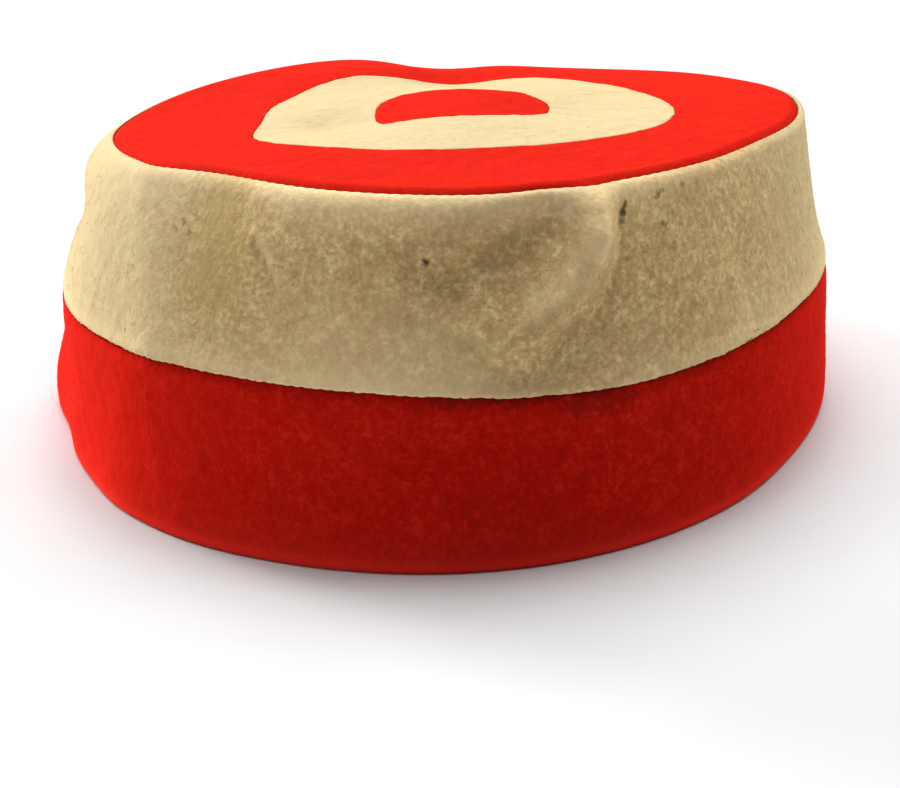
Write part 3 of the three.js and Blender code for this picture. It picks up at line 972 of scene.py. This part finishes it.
def tube_mesh(name, spines, radii, sides, material):
    """Many thin closed tubes as one mesh. spines is (tube, ring, 3); radii has one value for each ring."""
    count, rings = spines.shape[:2]
    ways = np.gradient(spines, axis=1)
    ways = ways / np.linalg.norm(ways, axis=-1, keepdims=True)
    helper = np.where(np.abs(ways[..., 2:]) < 0.9, [0.0, 0.0, 1.0], [1.0, 0.0, 0.0])
    side = np.cross(ways, helper)
    side = side / np.linalg.norm(side, axis=-1, keepdims=True)
    over = np.cross(side, ways)
    turns = (np.arange(sides) * 2 * math.pi / sides)[None, None, :, None]
    offset = side[:, :, None] * np.cos(turns) + over[:, :, None] * np.sin(turns)
    points = spines[:, :, None] + np.asarray(radii)[None, :, None, None] * offset
    k = np.arange(sides)
    low = np.arange(rings - 1)[:, None] * sides
    quads = np.stack([low + k, low + sides + k, low + sides + (k + 1) % sides, low + (k + 1) % sides], -1)
    base = np.arange(count)[:, None, None] * rings * sides
    quads = (base + quads.reshape(-1, 4)[None]).reshape(-1, 4)
    ends = np.stack([k, (rings * sides - 1) - k])
    ends = (base + ends[None]).reshape(-1, sides)
    return mesh_object(name, points.reshape(-1, 3), quads.tolist() + ends.tolist(), material)


def felt_spots(grid, count, rng):
    """Random places on a panel's outside: points, outward normals and two directions over the felt."""
    across = np.roll(grid, -1, axis=1)[:-1] - grid[:-1]
    up = grid[1:] - grid[:-1]
    normal = np.cross(across, up)
    area = np.linalg.norm(normal, axis=-1)
    pick = rng.choice(area.size, count, p=area.ravel() / area.sum())
    j, i = np.unravel_index(pick, area.shape)
    u, v = rng.random((2, count, 1))
    root = grid[j, i] + across[j, i] * u + up[j, i] * v
    n = normal[j, i] / area[j, i][:, None]
    t = across[j, i] / np.linalg.norm(across[j, i], axis=-1, keepdims=True)
    return root, n, t, np.cross(n, t)


def build_fuzz(name, grid, count, length, radius, lift, seed, material):
    """Short curved fibres that lie on the felt and stand a little out of it."""
    rng = np.random.default_rng(seed)
    root, n, t, b = felt_spots(grid, count, rng)
    heading = rng.random((count, 1)) * 2 * math.pi
    bend = rng.normal(0, FIBRE_BEND, (count, 1))
    size = length * rng.uniform(*FIBRE_LENGTHS, (count, 1))
    rise = lift * rng.gamma(2.0, 0.5, (count, 1))
    spine = [root - n * ROOT_DEPTH]
    for k in range(3):
        way = t * np.cos(heading + bend * k) + b * np.sin(heading + bend * k)
        step_up = rise * (1.0 if k == 0 else rng.uniform(-0.4, 0.5, (count, 1)))
        spine.append(spine[-1] + way * size / 3 + n * (step_up + (ROOT_DEPTH if k == 0 else 0)))
    return tube_mesh(name, np.stack(spine, 1), radius * FIBRE_TAPER, 3, material)


def build_seam_thread(material):
    """Slanting stitches that show in the valley of the side's seam."""
    rng = np.random.default_rng(77)
    angle = (np.arange(SIDE_STITCHES) + rng.normal(0, STITCH_STRAY, SIDE_STITCHES)) * 360 / SIDE_STITCHES
    seam = seam_height(angle)
    slant = STITCH_SLANT + rng.normal(0, STITCH_STRAY, SIDE_STITCHES)
    spine = []
    for up, out in STITCH_PATH:
        z = seam + up * rng.uniform(0.8, 1.15, SIDE_STITCHES)
        spine.append(side_point(angle + slant * up, z, -out))
    return tube_mesh("seam_thread", np.stack(spine, 1), THREAD_RADIUS * STITCH_TAPER, 6, material)


# ================= build =================
def dress(obj, node):
    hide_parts(node)
    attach(obj, "root")


red_felt = felt_material(
    "red_felt", RED_DARK, RED, RED_LIGHT, RED_CALM, RED_CREST,
    fine=0.4, coarse=0.65, thread=0.08, edge_share=1.0, marks=RED_SIDE_MARKS)
crown_red = felt_material(
    "crown_red", RED_DARK, RED_TOP, RED_LIGHT, RED_TOP, RED_CREST,
    fine=0.5, coarse=0.8, thread=0.1, edge_share=0.0, marks=[])
cream_felt = felt_material(
    "cream_felt", CREAM_DARK, CREAM, CREAM_LIGHT, CREAM_CALM, CREAM_CREST,
    fine=0.5, coarse=1.4, thread=0.1, edge_share=0.85, marks=SIDE_MARKS)
red_fibre = plain_material("red_fibre", RED_LIGHT, 0.9)
cream_fibre = plain_material("cream_fibre", CREAM_LIGHT, 0.9)
brown_thread = plain_material("brown_thread", THREAD_BROWN, 0.9)

lower_rows, lower_near = lower_band_rows()
upper_rows, upper_near = upper_band_rows()
outer_rows, outer_near = outer_ring_rows()
inner_rows, inner_near = inner_ring_rows()
outer_mottle = np.full(SPOKES, CROWN_RED_MOTTLE)
inner_mottle = np.full(RING_SPOKES, CROWN_CREAM_MOTTLE)
felt_lower = shell("felt_side_lower", lower_rows, red_felt, lower_near, mottle_share(RED_FRONT))
felt_upper = shell("felt_side_upper", upper_rows, cream_felt, upper_near, mottle_share(CREAM_FRONT))
felt_outer = shell("felt_crown_outer_ring", outer_rows, crown_red, outer_near, outer_mottle)
felt_inner = shell("felt_crown_inner_ring", inner_rows, cream_felt, inner_near, inner_mottle)
felt_centre = build_centre(crown_red)
# piece, node, slot, flat size and area of the felt in metres, what it is sewn to
FELTS = [
    (felt_lower, "side_lower", "red_felt", (0.563, 0.037), 0.0194, [felt_upper]),
    (felt_upper, "side_upper", "cream_felt", (0.553, 0.041), 0.0172, [felt_lower]),
    (felt_outer, "crown_outer_ring", "red_felt", (0.149, 0.165), 0.0117, [felt_upper]),
    (felt_inner, "crown_inner_ring", "cream_felt", (0.09, 0.0935), 0.0057, [felt_outer]),
    (felt_centre, "crown_centre", "red_felt", (0.0377, 0.036), 0.0011, [felt_inner]),
]
for felt, node, slot, flat, area, sewn_to in FELTS:
    dress(felt, node)
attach(build_seam_thread(brown_thread), "root")


# ================= stage, light and camera =================
# the camera, in front of the hat, in metres, degrees and mm of lens
CAMERA_DISTANCE = 0.420  # level, from the hat's middle
CAMERA_HEIGHT = 0.1715   # over the floor
CAMERA_PITCH = 22.5      # downwards
CAMERA_ROLL = 2.4
LENS = 77.7
SENSOR = 36

WARM = (1.0, 0.985, 0.96)
COOL = (0.98, 0.99, 1.0)
# name, azimuth (0 right, 90 behind the hat, 180 left), elevation, spread, strength, colour
SUNS = [
    ("key", 138, 11, 18, 1.1, WARM),
    ("left", 186, 10, 25, 0.15, WARM),
    ("right", 22, 26, 50, 0.28, WARM),
    ("top", 90, 73, 50, 1.36, COOL),
]
SKY = 0.06             # strength of the even light from all round


def add_floor():
    mesh = bpy.data.meshes.new("floor")
    reach = 3.0
    corners = [(-reach, -reach, 0), (reach, -reach, 0), (reach, reach, 0), (-reach, reach, 0)]
    mesh.from_pydata(corners, [], [(0, 1, 2, 3)])
    mesh.materials.append(plain_material("pale_floor", FLOOR, 0.8))
    floor = bpy.data.objects.new("floor", mesh)
    bpy.context.scene.collection.objects.link(floor)


def add_sun(name, azimuth, elevation, spread, strength, colour):
    """A wide soft light from far off."""
    data = bpy.data.lights.new(name, "SUN")
    data.angle = math.radians(spread)
    data.energy = strength * math.pi
    data.color = colour
    light = bpy.data.objects.new(name, data)
    bpy.context.scene.collection.objects.link(light)
    a, e = math.radians(azimuth), math.radians(elevation)
    towards = Vector((math.cos(a) * math.cos(e), math.sin(a) * math.cos(e), math.sin(e)))
    light.rotation_euler = towards.to_track_quat("Z", "Y").to_euler()


def add_camera():
    """In front of the hat, looking down, slightly rolled."""
    data = bpy.data.cameras.new("camera")
    data.sensor_width = SENSOR
    data.lens = LENS
    camera = bpy.data.objects.new("camera", data)
    bpy.context.scene.collection.objects.link(camera)
    pitch, roll = math.radians(CAMERA_PITCH), math.radians(CAMERA_ROLL)
    forward = Vector((0, math.cos(pitch), -math.sin(pitch)))
    right = Vector((1, 0, 0))
    up = right.cross(forward)
    tilted_up = up * math.cos(roll) + right * math.sin(roll)
    tilted_right = forward.cross(tilted_up)
    turned = Matrix((tilted_right, tilted_up, -forward)).transposed()
    place = Vector((SHIFT[0] * MM, SHIFT[1] * MM - CAMERA_DISTANCE, CAMERA_HEIGHT))
    camera.matrix_world = Matrix.Translation(place) @ turned.to_4x4()
    bpy.context.scene.camera = camera


def add_world():
    world = bpy.data.worlds.new("studio")
    world.use_nodes = True
    background = world.node_tree.nodes["Background"]
    background.inputs["Color"].default_value = (1, 1, 1, 1)
    background.inputs["Strength"].default_value = SKY
    bpy.context.scene.world = world


add_floor()
add_world()
for sun in SUNS:
    add_sun(*sun)
add_camera()
bpy.context.scene.view_settings.view_transform = "Standard"

# ---- the nap, on the rows of each panel's outside that are clear of its edges ----
lower_outside = lower_rows[9:44]
upper_outside = upper_rows[9:40]
ring_outside = inner_rows[5:36]
# name, rows, number of fibres, their length, radius and lift, finish, slot
FUZZ = [
    ("nap_side_lower", lower_outside, 5000, 1.3, 0.02, 0.06, red_fibre, "red_felt"),
    ("nap_side_upper", upper_outside, 4000, 1.3, 0.02, 0.04, cream_fibre, "cream_felt"),
    ("curls_side_upper", upper_outside, 900, 2.4, 0.03, 0.01, cream_fibre, "cream_felt"),
    ("nap_crown_inner_ring", ring_outside, 700, 1.3, 0.02, 0.04, cream_fibre, "cream_felt"),
]
for seed, (name, rows, count, length, radius, lift, material, slot) in enumerate(FUZZ):
    fuzz = build_fuzz(name, np.array(rows), count, length, radius, lift, seed + 1, material)
    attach(fuzz, "root")
